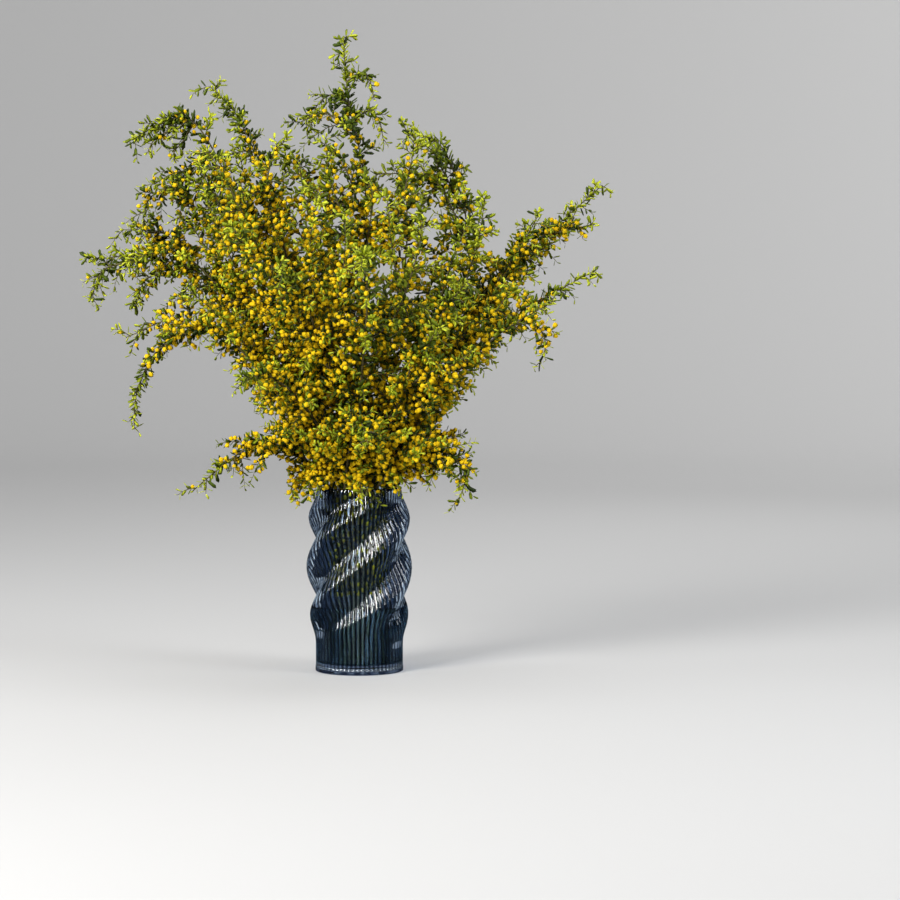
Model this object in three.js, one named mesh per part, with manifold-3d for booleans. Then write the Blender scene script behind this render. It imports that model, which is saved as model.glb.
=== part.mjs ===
// Golden wattle in a fluted glass vase, in millimetres, +Z up, the front towards -Y.
// The origin is the centre of the vase's underside. A thick-footed vase of blue glass, with upright reeds and
// four swells that wind up its wall, holds water and a spiral of cut wattle branches. Each branch is one
// body: a woody stem and side twigs, with round flower heads seated along them and leafy tips.
import * as THREE from "three";
import { mergeVertices } from "three/addons/utils/BufferGeometryUtils.js";
import Module from "manifold-3d";

const wasm = await Module();
wasm.setup();

const TAU = 2 * Math.PI;
const DEGREE = Math.PI / 180;
const UP = new THREE.Vector3(0, 0, 1);

// Vase
const VASE_HEIGHT = 250;
const FOOT_RADIUS = 58.5;
const BODY_RADIUS = 64;
const MOUTH_RADIUS = 57;
const SWELL = 7;
const SWELLS = 4;
const SWELL_SPACING = 78;
const SWELL_HEIGHT = 140;
const REEDS = 60;
const REED_DEPTH = 1.1;
const WALL = 4.2;
const FLOOR = 12;
const CAVITY_SIDES = 24;

// The water line is one of the heights at which the wall is measured, so glass and water share their facets.
const FOOT_TOP = 34;
const WATER_TOP = 89;
const RING_STEP = (WATER_TOP - FOOT_TOP) / 3;
const CLEARANCE = 0.4;

// Stems
const NECK_HEIGHT = 246;
const SPIRAL = 50;
const FOOT_SPREAD = 0.86;
const FOOT_STEM_RADIUS = 2.5;
const NECK_STEM_RADIUS = 2.0;
const TIP_STEM_RADIUS = 0.9;
const BOUGH_RADIUS = 1.6;
const BEND_ERROR = 1.0;

// Side twigs
const TWIG_SPACING = 22;
const TWIG_LONG = 112;
const TWIG_SHORT = 24;
const TWIG_RADIUS = 1.0;
const ROOT_RADIUS = 0.5;
const GOLDEN_ANGLE = 137.5 * DEGREE;

// Leaves and flower heads
const LEAF_STEP = 7;
const LEAF_REACH = 12;
const LEAF_SWEEP = 7;
const RIB_HALF = 0.9;
const HEAD_RADIUS = 4.0;
const HEAD_LEAN = 3.0;
const HEAD_STEP = 7.6;

// How much of each branch is built, with four-sided stems and flowering twigs and three-sided leafy ones.
const STEM_SIDES = 4;
const LEAFY_SIDES = 3;
const TWIGS = 4;
const TIP_LEAVES = 6;
const BOUGH_LEAVES = 3;
const CLUSTER_HEADS = 1;
const ROW_HEADS = 4;
const FLOWER_LEAVES = 2;
const LEAFY_LEAVES = 7;
const LEAFY_BLOOM = 0.75;

// A repeatable number from 0 to 1 for a list of whole numbers.
function chance(...keys) {
  let h = 2166136261;
  for (const k of keys) {
    h = Math.imul(h ^ k, 16777619);
    h ^= h >>> 13;
    h = Math.imul(h, 1540483477);
  }
  h ^= h >>> 15;
  return (h >>> 0) / 4294967296;
}

const smooth = THREE.MathUtils.smoothstep;
const mix = THREE.MathUtils.lerp;
const clamp = THREE.MathUtils.clamp;
const vector = (p) => new THREE.Vector3(...p);
const polar = (radius, degrees, z) =>
  new THREE.Vector3(radius * Math.cos(degrees * DEGREE), radius * Math.sin(degrees * DEGREE), z);

// A three.js geometry as a solid, and a solid as a geometry.
function solid(geometry) {
  geometry.deleteAttribute("normal");
  geometry.deleteAttribute("uv");
  const merged = mergeVertices(geometry, 1e-4);
  const vertProperties = new Float32Array(merged.attributes.position.array);
  const triVerts = new Uint32Array(merged.index.array);
  return new wasm.Manifold(new wasm.Mesh({ numProp: 3, vertProperties, triVerts }));
}

function geometryOf(body) {
  const mesh = body.getMesh();
  return new THREE.BufferGeometry()
    .setAttribute("position", new THREE.BufferAttribute(new Float32Array(mesh.vertProperties), 3))
    .setIndex(new THREE.BufferAttribute(new Uint32Array(mesh.triVerts), 1));
}

// The wall's radius: a straight foot, a fuller body and a drawn-in mouth, with the swells winding up it.
// The swells fade out towards the foot and the mouth, so both stay round.
function wallRadius(azimuth, z) {
  const body = mix(FOOT_RADIUS, BODY_RADIUS, smooth(z, 32, 110));
  const mean = mix(body, MOUTH_RADIUS, smooth(z, 190, VASE_HEIGHT));
  const swell = SWELL * smooth(z, 34, 92) * (1 - smooth(z, 204, VASE_HEIGHT));
  return mean + swell * Math.cos(SWELLS * azimuth - (TAU * (z - SWELL_HEIGHT)) / SWELL_SPACING);
}

// A turned solid whose rings follow the wall at an inset, with a reed's crest on every second point.
function turned(heights, sides, inset, reedDepth) {
  const profile = [new THREE.Vector2(0, heights[0])];
  for (const z of heights) profile.push(new THREE.Vector2(1, z));
  profile.push(new THREE.Vector2(0, heights.at(-1)));
  const geometry = new THREE.LatheGeometry(profile, sides);
  const place = geometry.attributes.position;
  for (let i = 0; i < place.count; i++) {
    const [x, z, y] = [place.getX(i), place.getY(i), place.getZ(i)];
    const step = (Math.round((Math.atan2(x, y) * sides) / TAU) + sides) % sides;
    const azimuth = (step * TAU) / sides;
    const reed = step % 2 === 0 ? reedDepth / 2 : -reedDepth / 2;
    const radius = Math.hypot(x, y) > 0.5 ? wallRadius(azimuth, z) - inset + reed : 0;
    place.setXYZ(i, radius * Math.cos(azimuth), radius * Math.sin(azimuth), z);
  }
  return solid(geometry);
}

function wallHeights(top) {
  const count = Math.floor((top - FOOT_TOP) / RING_STEP + 0.5);
  return Array.from({ length: count }, (_, i) => FOOT_TOP + i * RING_STEP);
}

function vaseSolid() {
  const wall = wallHeights(VASE_HEIGHT);
  const outside = turned([0, ...wall, VASE_HEIGHT], 2 * REEDS, 0, REED_DEPTH);
  const cavity = turned([FLOOR, ...wall, VASE_HEIGHT + 1], CAVITY_SIDES, WALL, 0);
  return outside.subtract(cavity);
}

// The water stands inside the glass, with a plain hole round each stem.
function waterSolid(branches) {
  const heights = [FLOOR + CLEARANCE, ...wallHeights(WATER_TOP), WATER_TOP];
  let water = turned(heights, CAVITY_SIDES, WALL + CLEARANCE, 0);
  for (const { stem } of branches) {
    const hole = [ring(-1.02 * stem.rooted, FOOT_STEM_RADIUS), ring(0, NECK_STEM_RADIUS)];
    water = water.subtract(skin(stem, hole, STEM_SIDES, CLEARANCE));
  }
  return water;
}

// Each branch: where its stem passes the neck (radius, azimuth in degrees), how heavily it flowers, from 0
// to 1, and the points that it grows through from there to its tip. A slender branch also has a fullness
// below 1, which shortens the twigs on its outer half.
const BRANCHES = [
  {
    name: "spire", neck: [0, 0], bloom: 0.7,
    way: [[6, 0, 420], [10, 0, 640], [-14, 0, 775], [-20, 0, 859]],
  },
  {
    name: "upper_left", neck: [14, 165], bloom: 0.9,
    way: [[-58, -10, 420], [-122, -20, 650], [-160, -20, 745], [-200, -25, 790]],
  },
  {
    name: "upper_right", neck: [14, 20], bloom: 0.4,
    way: [[92, 30, 430], [148, 45, 560], [118, 45, 700], [58, 40, 735]],
  },
  {
    name: "far_right", neck: [44, 14], bloom: 0.7,
    way: [[110, 25, 400], [190, 45, 535], [270, 60, 605], [335, 60, 662]],
  },
  {
    name: "right", neck: [44, -12], bloom: 0.9, fullness: 0.8,
    way: [[105, -22, 375], [190, -30, 470], [258, -35, 510], [322, -30, 545]],
  },
  {
    name: "right_low", neck: [44, -38], bloom: 1.0, fullness: 0.6,
    way: [[100, -65, 368], [180, -105, 452], [264, -125, 505]],
  },
  {
    name: "right_hanging", neck: [44, -64], bloom: 0.8,
    way: [[62, -80, 290], [112, -95, 302], [143, -100, 275], [134, -100, 236]],
  },
  {
    name: "left_rising", neck: [29, 150], bloom: 0.8,
    way: [[-82, 35, 430], [-150, 55, 600], [-220, 55, 738], [-268, 50, 742], [-309, 45, 718]],
  },
  {
    name: "far_left", neck: [44, 168], bloom: 0.8,
    way: [[-100, 20, 400], [-190, 30, 520], [-285, 30, 560], [-372, 25, 556]],
  },
  {
    name: "left_arching", neck: [44, 193], bloom: 0.9, fullness: 0.4,
    way: [[-95, -30, 360], [-185, -48, 458], [-258, -60, 442], [-292, -62, 385], [-298, -62, 326]],
  },
  {
    name: "left_low", neck: [44, 219], bloom: 0.9,
    way: [[-85, -65, 305], [-130, -95, 314], [-175, -112, 286], [-218, -118, 250]],
  },
  {
    name: "front_left", neck: [29, 240], bloom: 1.0,
    way: [[-60, -85, 350], [-112, -150, 405], [-148, -190, 396]],
  },
  {
    name: "front_left_high", neck: [14, 260], bloom: 1.0,
    way: [[-35, -80, 400], [-70, -150, 510], [-98, -200, 548]],
  },
  {
    name: "front", neck: [29, 272], bloom: 0.7,
    way: [[5, -90, 380], [16, -160, 500], [14, -215, 560], [10, -248, 545]],
  },
  {
    name: "front_low", neck: [44, 245], bloom: 1.0,
    way: [[-8, -95, 315], [6, -150, 345], [18, -195, 318]],
  },
  {
    name: "front_right", neck: [29, 305], bloom: 0.9,
    way: [[62, -78, 390], [112, -140, 485], [148, -185, 530]],
  },
  {
    name: "back_right", neck: [44, 40], bloom: 0.8,
    way: [[85, 75, 390], [150, 145, 490], [195, 195, 520]],
  },
  {
    name: "back_right_high", neck: [29, 58], bloom: 0.7,
    way: [[45, 70, 420], [62, 145, 570], [60, 200, 655], [50, 235, 668]],
  },
  {
    name: "back_left_high", neck: [29, 105], bloom: 0.8,
    way: [[-52, 75, 425], [-100, 145, 560], [-140, 195, 625]],
  },
  {
    name: "back_left", neck: [44, 125], bloom: 0.9,
    way: [[-85, 85, 365], [-165, 145, 455], [-230, 180, 462]],
  },
];

// A bough leaves its branch at a share of the branch's length above the neck, and fills the crown between
// the branches.
const BOUGHS = [
  { branch: "spire", from: 0.22, way: [[40, 20, 470], [78, 35, 560], [84, 40, 650]] },
  { branch: "spire", from: 0.3, way: [[-30, -20, 520], [-66, -40, 620], [-78, -55, 690]] },
  { branch: "spire", from: 0.62, way: [[-42, -12, 752], [-82, -18, 738]] },
  { branch: "upper_left", from: 0.2, way: [[-60, -55, 470], [-62, -85, 570], [-50, -95, 650]] },
  { branch: "upper_left", from: 0.32, way: [[-100, 30, 520], [-110, 45, 610], [-100, 50, 690]] },
  { branch: "upper_left", from: 0.45, way: [[-140, -60, 600], [-172, -85, 660], [-196, -95, 700]] },
  { branch: "upper_right", from: 0.25, way: [[70, -25, 470], [48, -60, 560], [40, -80, 640]] },
  { branch: "upper_right", from: 0.34, way: [[130, 0, 500], [158, -30, 570], [170, -40, 640]] },
  { branch: "upper_right", from: 0.66, way: [[88, 20, 672], [20, 5, 672]] },
  { branch: "far_right", from: 0.28, way: [[140, 12, 450], [200, 10, 540], [228, 5, 600]] },
  { branch: "left_rising", from: 0.28, way: [[-140, 0, 500], [-180, -25, 580], [-205, -35, 650]] },
  { branch: "left_rising", from: 0.4, way: [[-150, 90, 580], [-160, 110, 660], [-170, 115, 715]] },
  { branch: "left_rising", from: 0.55, way: [[-235, 40, 668], [-284, 30, 640], [-294, 28, 598]] },
  { branch: "far_left", from: 0.62, way: [[-265, 45, 592], [-328, 50, 598]] },
  { branch: "left_arching", from: 0.18, way: [[-130, -60, 420], [-180, -85, 480], [-225, -100, 520]] },
  { branch: "left_arching", from: 0.42, way: [[-245, -30, 478], [-312, -22, 452]] },
  { branch: "front_left_high", from: 0.35, way: [[-30, -115, 470], [-15, -145, 550], [-12, -160, 620]] },
  { branch: "front_left_high", from: 0.42, way: [[-90, -130, 500], [-130, -155, 560], [-160, -165, 600]] },
  { branch: "front", from: 0.38, way: [[50, -130, 480], [80, -150, 560], [88, -160, 620]] },
  { branch: "back_right_high", from: 0.3, way: [[80, 100, 480], [112, 120, 570], [122, 125, 640]] },
  { branch: "back_left_high", from: 0.3, way: [[-50, 110, 500], [-45, 130, 600], [-50, 140, 680]] },
  { branch: "back_left", from: 0.3, way: [[-130, 100, 430], [-190, 110, 500], [-230, 115, 540]] },
];

// A shoot is a line that wood grows along: its path from 0 to 1, its length and a level sideways direction
// that fixes how its leaves and twigs turn. A curved one also has two end radii, and below 0 it runs straight
// on towards a root.
function curvedShoot(points, root, radii) {
  const curve = new THREE.CatmullRomCurve3(points, false, "catmullrom", 0.5);
  const length = curve.getLength();
  const across = points.at(-1).clone().sub(points[0]);
  const side = new THREE.Vector3(-across.y, across.x, 0).normalize();
  const rooted = points[0].distanceTo(root);
  const below = (u) => points[0].clone().lerp(root, (-u * length) / rooted);
  return { path: (u) => (u < 0 ? below(u) : curve.getPoint(Math.min(1, u))), length, rooted, radii, side };
}

function frameAt(shoot, u) {
  const nudge = 0.01;
  const along = shoot.path(u + nudge).sub(shoot.path(u - nudge)).normalize();
  const side = shoot.side.clone().addScaledVector(along, -shoot.side.dot(along)).normalize();
  return { at: shoot.path(u), along, side, over: along.clone().cross(side) };
}

// Inside the vase a stem is straight. The feet stand turned about the axis from the necks, as in a tied
// spiral, so no stem crosses another.
function stemShoot({ neck: [radius, azimuth], way, fullness }) {
  const foot = polar(radius * FOOT_SPREAD, azimuth - SPIRAL, FLOOR + CLEARANCE);
  const points = [polar(radius, azimuth, NECK_HEIGHT), ...way.map(vector)];
  return { ...curvedShoot(points, foot, [NECK_STEM_RADIUS, TIP_STEM_RADIUS]), fullness };
}

// Side twig j leaves its parent at a slant, turned by the golden angle from the last, and sags along its
// length. Twigs shorten up the parent, so its tip is slender. Close above the vase they rise, to clear it.
function twigShoot(parent, key, j, count) {
  const u = (j + 0.6) / (count + 0.1);
  const { at, along, side, over } = frameAt(parent, u);
  const turn = j * GOLDEN_ANGLE + 0.7 * chance(key, j, 1);
  const slant = (46 + 22 * chance(key, j, 2)) * DEGREE;
  const fullness = mix(1, parent.fullness ?? 1, smooth(u, 0.1, 0.6));
  const length = fullness * mix(TWIG_LONG, TWIG_SHORT, smooth(u, 0, 0.8)) * (0.7 + 0.5 * chance(key, j, 3));
  const out = side.clone().multiplyScalar(Math.cos(turn)).addScaledVector(over, Math.sin(turn));
  const start = along.clone().multiplyScalar(Math.cos(slant)).addScaledVector(out, Math.sin(slant));
  const free = Math.max(smooth(at.z, 300, 400), smooth(Math.hypot(at.x, at.y), 110, 170));
  start.z = Math.max(start.z, mix(0.3, -1, free));
  start.normalize();
  const sag = mix(0.05, 0.18 + 0.3 * chance(key, j, 4), free);
  const path = (s) =>
    at.clone().addScaledVector(start, length * s).addScaledVector(UP, -sag * length * s * s);
  const level = new THREE.Vector3(-start.y, start.x, 0);
  return { path, length, side: level.length() > 0.15 ? level.normalize() : side };
}

// A shoot's skin is a list of rings: the place along the shoot in mm, the radius, how far the centre leans
// off the wood, and the corner, if any, that is drawn out and forward into a leaf of the given size.
const ring = (at, radius, { lean = [0, 0], leaf = -1, size = 0 } = {}) =>
  ({ at, radius, lean, leaf, size });

// Bends a prism along a shoot through its rings; grow adds to every corner's reach.
function skin(shoot, rings, sides, grow = 0) {
  const last = rings.length - 1;
  const frames = rings.map(({ at }) => frameAt(shoot, at / shoot.length));
  const geometry = new THREE.CylinderGeometry(1, 1, 1, sides, last);
  const place = geometry.attributes.position;
  for (let i = 0; i < place.count; i++) {
    const [x, y, z] = [place.getX(i), place.getY(i), place.getZ(i)];
    const k = Math.round((y + 0.5) * last);
    const corner = (Math.round((Math.atan2(x, z) * sides) / TAU) + sides) % sides;
    const turn = (corner * TAU) / sides;
    const { radius, lean, leaf, size } = rings[k];
    const { at, along, side, over } = frames[k];
    const point = at.clone().addScaledVector(side, lean[0]).addScaledVector(over, lean[1]);
    if (Math.hypot(x, z) > 0.5) {
      const isLeaf = corner === leaf;
      const reach = grow + (isLeaf ? Math.max(radius, size * LEAF_REACH) : radius);
      point.addScaledVector(side, reach * Math.cos(turn)).addScaledVector(over, reach * Math.sin(turn));
      if (isLeaf) point.addScaledVector(along, size * LEAF_SWEEP);
    }
    place.setXYZ(i, point.x, point.y, point.z);
  }
  return solid(geometry);
}

// Heads sit in a row, each leaning off the wood on its own side, with bare wood showing between them.
function headRings(start, count, radius, turn) {
  const rings = [ring(start, radius)];
  for (let k = 0; k < count; k++) {
    const side = turn + k * GOLDEN_ANGLE;
    const lean = [HEAD_LEAN * Math.cos(side), HEAD_LEAN * Math.sin(side)];
    rings.push(ring(start + (k + 0.5) * HEAD_STEP, HEAD_RADIUS, { lean }));
    rings.push(ring(start + (k + 1) * HEAD_STEP, radius));
  }
  return rings;
}

// Leaves wind round the rib one by one, each a thin fin that points forward, and shorten towards the tip.
function leafRings(start, count, sides) {
  const rings = [ring(start - LEAF_STEP, RIB_HALF)];
  for (let k = 0; k < count; k++) {
    const size = mix(1, 0.55, smooth(k / count, 0.4, 1));
    rings.push(ring(start + k * LEAF_STEP, RIB_HALF, { leaf: (count * sides - k) % sides, size }));
  }
  return [...rings, ring(start + count * LEAF_STEP, RIB_HALF)];
}

const stemRadius = (shoot, at) => mix(shoot.radii[0], shoot.radii[1], at / shoot.length);

// Bare wood between two places on a shoot, with rings only where it bends off the straight.
function bentWood(shoot, start, end) {
  const middle = (start + end) / 2;
  const [a, b, m] = [start, end, middle].map((at) => shoot.path(at / shoot.length));
  if (a.add(b).multiplyScalar(0.5).distanceTo(m) < BEND_ERROR) return [];
  const between = ring(middle, stemRadius(shoot, middle));
  return [...bentWood(shoot, start, middle), between, ...bentWood(shoot, middle, end)];
}

// A stem: bare wood from the neck, a cluster of heads part of the way up, and a leafy tip.
function stemRings(shoot, key) {
  const leafy = shoot.length - TIP_LEAVES * LEAF_STEP;
  const start = mix(0.35, 0.75, chance(key, 5)) * leafy;
  const heads = headRings(start, CLUSTER_HEADS, stemRadius(shoot, start), TAU * chance(key, 6));
  const straight = [ring(-shoot.rooted, FOOT_STEM_RADIUS), ring(0, NECK_STEM_RADIUS)];
  const below = [...straight, ...bentWood(shoot, 0, start)];
  const above = bentWood(shoot, heads.at(-1).at, leafy - LEAF_STEP);
  return [...below, ...heads, ...above, ...leafRings(leafy, TIP_LEAVES, STEM_SIDES)];
}

// A bough is a smaller stem: its root, a cluster of heads and a leafy tip.
function boughRings(shoot, key) {
  const leafy = shoot.length - BOUGH_LEAVES * LEAF_STEP;
  const heads = headRings(0.3 * leafy, CLUSTER_HEADS, shoot.radii[0], TAU * chance(key, 6));
  const above = bentWood(shoot, heads.at(-1).at, leafy - LEAF_STEP);
  return [ring(0, ROOT_RADIUS), ...heads, ...above, ...leafRings(leafy, BOUGH_LEAVES, STEM_SIDES)];
}

// A flowering twig: a short bare stalk, a row of heads and a few leaves. A leafy one has leaves all along.
function floweringRings(shoot, key, j, bloom) {
  const leafy = shoot.length - FLOWER_LEAVES * LEAF_STEP;
  const heads = clamp(Math.floor((leafy - LEAF_STEP - 12) / HEAD_STEP), 1, Math.round(bloom * ROW_HEADS));
  const start = leafy - LEAF_STEP - heads * HEAD_STEP - 2;
  const row = headRings(start, heads, TWIG_RADIUS, TAU * chance(key, j, 7));
  return [ring(0, ROOT_RADIUS), ...row, ...leafRings(leafy, FLOWER_LEAVES, STEM_SIDES)];
}

function leafyRings(shoot) {
  const leaves = clamp(Math.floor((shoot.length - 16) / LEAF_STEP), 1, LEAFY_LEAVES);
  return [ring(0, ROOT_RADIUS), ...leafRings(shoot.length - leaves * LEAF_STEP, leaves, LEAFY_SIDES)];
}

const golden = new THREE.MeshStandardMaterial({ color: "#d9a514", roughness: 0.8, metalness: 0 });
const leafGreen = new THREE.MeshStandardMaterial({ color: "#5c7a24", roughness: 0.7, metalness: 0 });
const blueGlass = new THREE.MeshStandardMaterial({
  color: "#2b4a6e", roughness: 0.08, metalness: 0, transparent: true, opacity: 0.5,
});
const clearWater = new THREE.MeshStandardMaterial({
  color: "#8fb0b8", roughness: 0.05, metalness: 0, transparent: true, opacity: 0.4,
});

function boughShoot(stem, { from, way }) {
  const points = [stem.path(from), ...way.map(vector)];
  const root = points[0].clone().multiplyScalar(2).sub(points[1]);
  return curvedShoot(points, root, [BOUGH_RADIUS, TIP_STEM_RADIUS]);
}

// A branch's stem and boughs. They go in before any twig, so twigs keep clear of all of them.
function branchWood(branch, key) {
  const stem = stemShoot(branch);
  let body = skin(stem, stemRings(stem, key), STEM_SIDES);
  BOUGHS.forEach((bough, number) => {
    if (bough.branch !== branch.name) return;
    const limb = boughShoot(stem, bough);
    body = body.add(skin(limb, boughRings(limb, BRANCHES.length + number), STEM_SIDES));
  });
  return { ...branch, key, stem, body };
}

// Adds each twig that keeps clear of every other node, flowering and leafy in turn up the stem. Where one
// would touch, the next one along is tried.
function addTwigs(branch, others) {
  const { stem, key, bloom } = branch;
  const count = Math.round(stem.length / TWIG_SPACING);
  const span = Math.floor(count / TWIGS);
  for (let n = 0; n < TWIGS; n++) {
    const flowers = n % 2 === 0;
    const sides = flowers ? STEM_SIDES : LEAFY_SIDES;
    for (let t = 0; t < span; t++) {
      const j = count - (TWIGS - n) * span + ((t + Math.floor(span / 2)) % span);
      const twig = twigShoot(stem, key, j, count);
      const rings = flowers ? floweringRings(twig, key, j, bloom) : leafyRings(twig);
      const reach = skin(twig, rings, sides, CLEARANCE);
      if (others.some((other) => !reach.intersect(other.body).isEmpty())) continue;
      branch.body = branch.body.add(skin(twig, rings, sides));
      break;
    }
  }
}

const wattle = new THREE.Group();

function addNode(name, body, material) {
  const mesh = new THREE.Mesh(geometryOf(body), material);
  mesh.name = name;
  wattle.add(mesh);
}

const vase = { body: vaseSolid() };
const branches = BRANCHES.map(branchWood);
for (const branch of branches) addTwigs(branch, [vase, ...branches.filter((other) => other !== branch)]);

addNode("vase", vase.body, blueGlass);
addNode("water", waterSolid(branches), clearWater);
for (const { name, body, bloom } of branches)
  addNode(`branch_${name}`, body, bloom < LEAFY_BLOOM ? leafGreen : golden);

export default wattle;
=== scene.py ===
# %% [markdown]
# Golden wattle in a fluted glass vase.
# A vase of deep blue glass holds water and a spiral of cut wattle branches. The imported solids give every
# place and size. This lesson dresses them: the glass gets its fine reeds, and each branch gets the twigs,
# leaves and flower heads of a real one, grown on the same lines as its solid.

import math
from collections import namedtuple

import bpy
import numpy as np
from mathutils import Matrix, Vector


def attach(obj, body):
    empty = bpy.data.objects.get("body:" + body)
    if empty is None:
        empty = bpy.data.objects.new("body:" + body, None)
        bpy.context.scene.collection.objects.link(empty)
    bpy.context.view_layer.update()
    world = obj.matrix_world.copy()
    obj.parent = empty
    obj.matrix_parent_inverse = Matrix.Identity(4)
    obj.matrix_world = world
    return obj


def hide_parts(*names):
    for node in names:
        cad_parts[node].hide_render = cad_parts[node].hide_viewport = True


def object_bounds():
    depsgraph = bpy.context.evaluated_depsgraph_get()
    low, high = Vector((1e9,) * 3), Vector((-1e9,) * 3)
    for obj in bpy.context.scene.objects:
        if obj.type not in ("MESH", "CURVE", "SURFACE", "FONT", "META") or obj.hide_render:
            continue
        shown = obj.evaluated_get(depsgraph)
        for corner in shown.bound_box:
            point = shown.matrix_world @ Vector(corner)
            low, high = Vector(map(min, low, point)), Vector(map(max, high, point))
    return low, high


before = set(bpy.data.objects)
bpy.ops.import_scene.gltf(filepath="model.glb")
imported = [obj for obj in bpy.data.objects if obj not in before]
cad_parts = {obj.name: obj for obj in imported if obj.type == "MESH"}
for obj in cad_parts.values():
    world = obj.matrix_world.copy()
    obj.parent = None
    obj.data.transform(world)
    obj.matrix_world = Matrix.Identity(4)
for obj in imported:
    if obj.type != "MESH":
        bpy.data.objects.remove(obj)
cad_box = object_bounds()
MM = 0.001
TAU = 2 * math.pi
bpy.ops.object.select_all(action="DESELECT")


def put_in_scene(name, data):
    made = bpy.data.objects.new(name, data)
    bpy.context.scene.collection.objects.link(made)
    return made


print("nodes in the frame:", len(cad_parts))

# %% [markdown]
# The camera stands four metres off, a little above the middle of the arrangement and a hand's breadth to its
# right, looking slightly down. A long lens from so far keeps the vase's sides nearly parallel.

# %% The camera
CAMERA_PLACE = (0.123, -4.05, 0.529)
CAMERA_TILT = 3.24
camera_data = bpy.data.cameras.new("camera")
camera_data.lens = 120
camera_data.sensor_width = 36
camera = put_in_scene("camera", camera_data)
camera.location = CAMERA_PLACE
camera.rotation_euler = (math.radians(90 - CAMERA_TILT), 0, 0)
bpy.context.scene.camera = camera
print("camera at", CAMERA_PLACE)

# %% [markdown]
# Shader sums are easier to read as plain arithmetic. A Wire wraps one output socket and turns + - * / into
# Math nodes, and a Recipe holds a material's or the world's nodes and adds any node by its type, settings and
# inputs.

# %% Shader arithmetic


class Wire:
    def __init__(self, recipe, socket):
        self.recipe = recipe
        self.socket = socket

    def math(self, operation, *values):
        return self.recipe.node("ShaderNodeMath", {"operation": operation}, dict(enumerate(values)))

    def __add__(self, other):
        return self.math("ADD", self, other)

    def __sub__(self, other):
        return self.math("SUBTRACT", self, other)

    def __mul__(self, other):
        return self.math("MULTIPLY", self, other)

    def __truediv__(self, other):
        return self.math("DIVIDE", self, other)

    __radd__ = __add__
    __rmul__ = __mul__


class Recipe:
    def __init__(self, name, kind="materials"):
        self.owner = getattr(bpy.data, kind).new(name)
        self.owner.use_nodes = True
        self.tree = self.owner.node_tree
        self.tree.nodes.clear()

    def node(self, kind, settings, inputs, out=0):
        made = self.tree.nodes.new(kind)
        for key, value in settings.items():
            if key == "stops":
                self.set_stops(made.color_ramp, value)
            else:
                setattr(made, key, value)
        for key, value in inputs.items():
            if isinstance(value, Wire):
                self.tree.links.new(value.socket, made.inputs[key])
            else:
                made.inputs[key].default_value = value
        return Wire(self, made.outputs[out]) if made.outputs else made

    def set_stops(self, ramp, stops):
        while len(ramp.elements) < len(stops):
            ramp.elements.new(0.5)
        for element, (place, colour) in zip(ramp.elements, stops):
            element.position = place
            element.color = (*colour, 1)

    def place(self):
        return self.node("ShaderNodeTexCoord", {}, {}, out="Object")

    def split(self, vector):
        """The x, y and z of a vector as three wires."""
        first = self.node("ShaderNodeSeparateXYZ", {}, {0: vector})
        return [Wire(self, socket) for socket in first.socket.node.outputs]

    def ray(self, question):
        return self.node("ShaderNodeLightPath", {}, {}, out=question)

    def step(self, value, low, high):
        """Rises smoothly from 0 at low to 1 at high."""
        inputs = {"Value": value, "From Min": low, "From Max": high}
        return self.node("ShaderNodeMapRange", {"interpolation_type": "SMOOTHSTEP"}, inputs)

    def noise(self, scale, detail=2.0, roughness=0.5):
        inputs = {"Vector": self.place(), "Scale": scale, "Detail": detail, "Roughness": roughness}
        return self.node("ShaderNodeTexNoise", {}, inputs)

    def ramp(self, value, stops):
        return self.node("ShaderNodeValToRGB", {"stops": stops}, {"Fac": value})

    def bump(self, height, distance, strength=1.0):
        return self.node("ShaderNodeBump", {}, {"Height": height, "Distance": distance, "Strength": strength})

    def principled(self, inputs):
        return self.node("ShaderNodeBsdfPrincipled", {}, inputs)

    def choose(self, share, first, second):
        return self.node("ShaderNodeMixShader", {}, {0: share, 1: first, 2: second})

    def finish(self, shader, output="ShaderNodeOutputMaterial"):
        self.node(output, {}, {"Surface": shader})
        return self.owner


print("shader helpers ready")

# %% [markdown]
# Shapes are edited as by hand: something is selected and an operator then moves it. A test on each point or
# face middle selects in code what a click selects on the screen.

# %% Selecting and naming


def select_where(obj, test, kind="verts"):
    """In edit mode, selects the vertices, or the faces by their middles, for which test is true."""
    bpy.ops.object.mode_set(mode="OBJECT")
    mesh = obj.data
    for parts in (mesh.vertices, mesh.edges, mesh.polygons):
        parts.foreach_set("select", [False] * len(parts))
    for part in mesh.vertices if kind == "verts" else mesh.polygons:
        part.select = test(part.co if kind == "verts" else part.center)
    bpy.ops.object.mode_set(mode="EDIT")
    bpy.ops.mesh.select_mode(type="VERT" if kind == "verts" else "FACE")


def pick(*pieces):
    """Selects these pieces alone. The first one is the active one."""
    bpy.ops.object.select_all(action="DESELECT")
    for piece in pieces:
        piece.select_set(True)
    bpy.context.view_layer.objects.active = pieces[0]


def name_it(name):
    made = bpy.context.active_object
    made.name = name
    made.data.name = name
    return made


print("selection helpers ready")

# %% [markdown]
# The room is plain: a round pale floor that curves up into a wall all the way round, so the part can be
# looked at from any side. It is a disc whose edge is extruded up and rounded by a bevel.

# %% Floor and wall
FLOOR_RADIUS = 7.5
WALL_TOP = 3.6
SWEEP_RADIUS = 2.8
FLAT_MARGIN = 0.1

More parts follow.
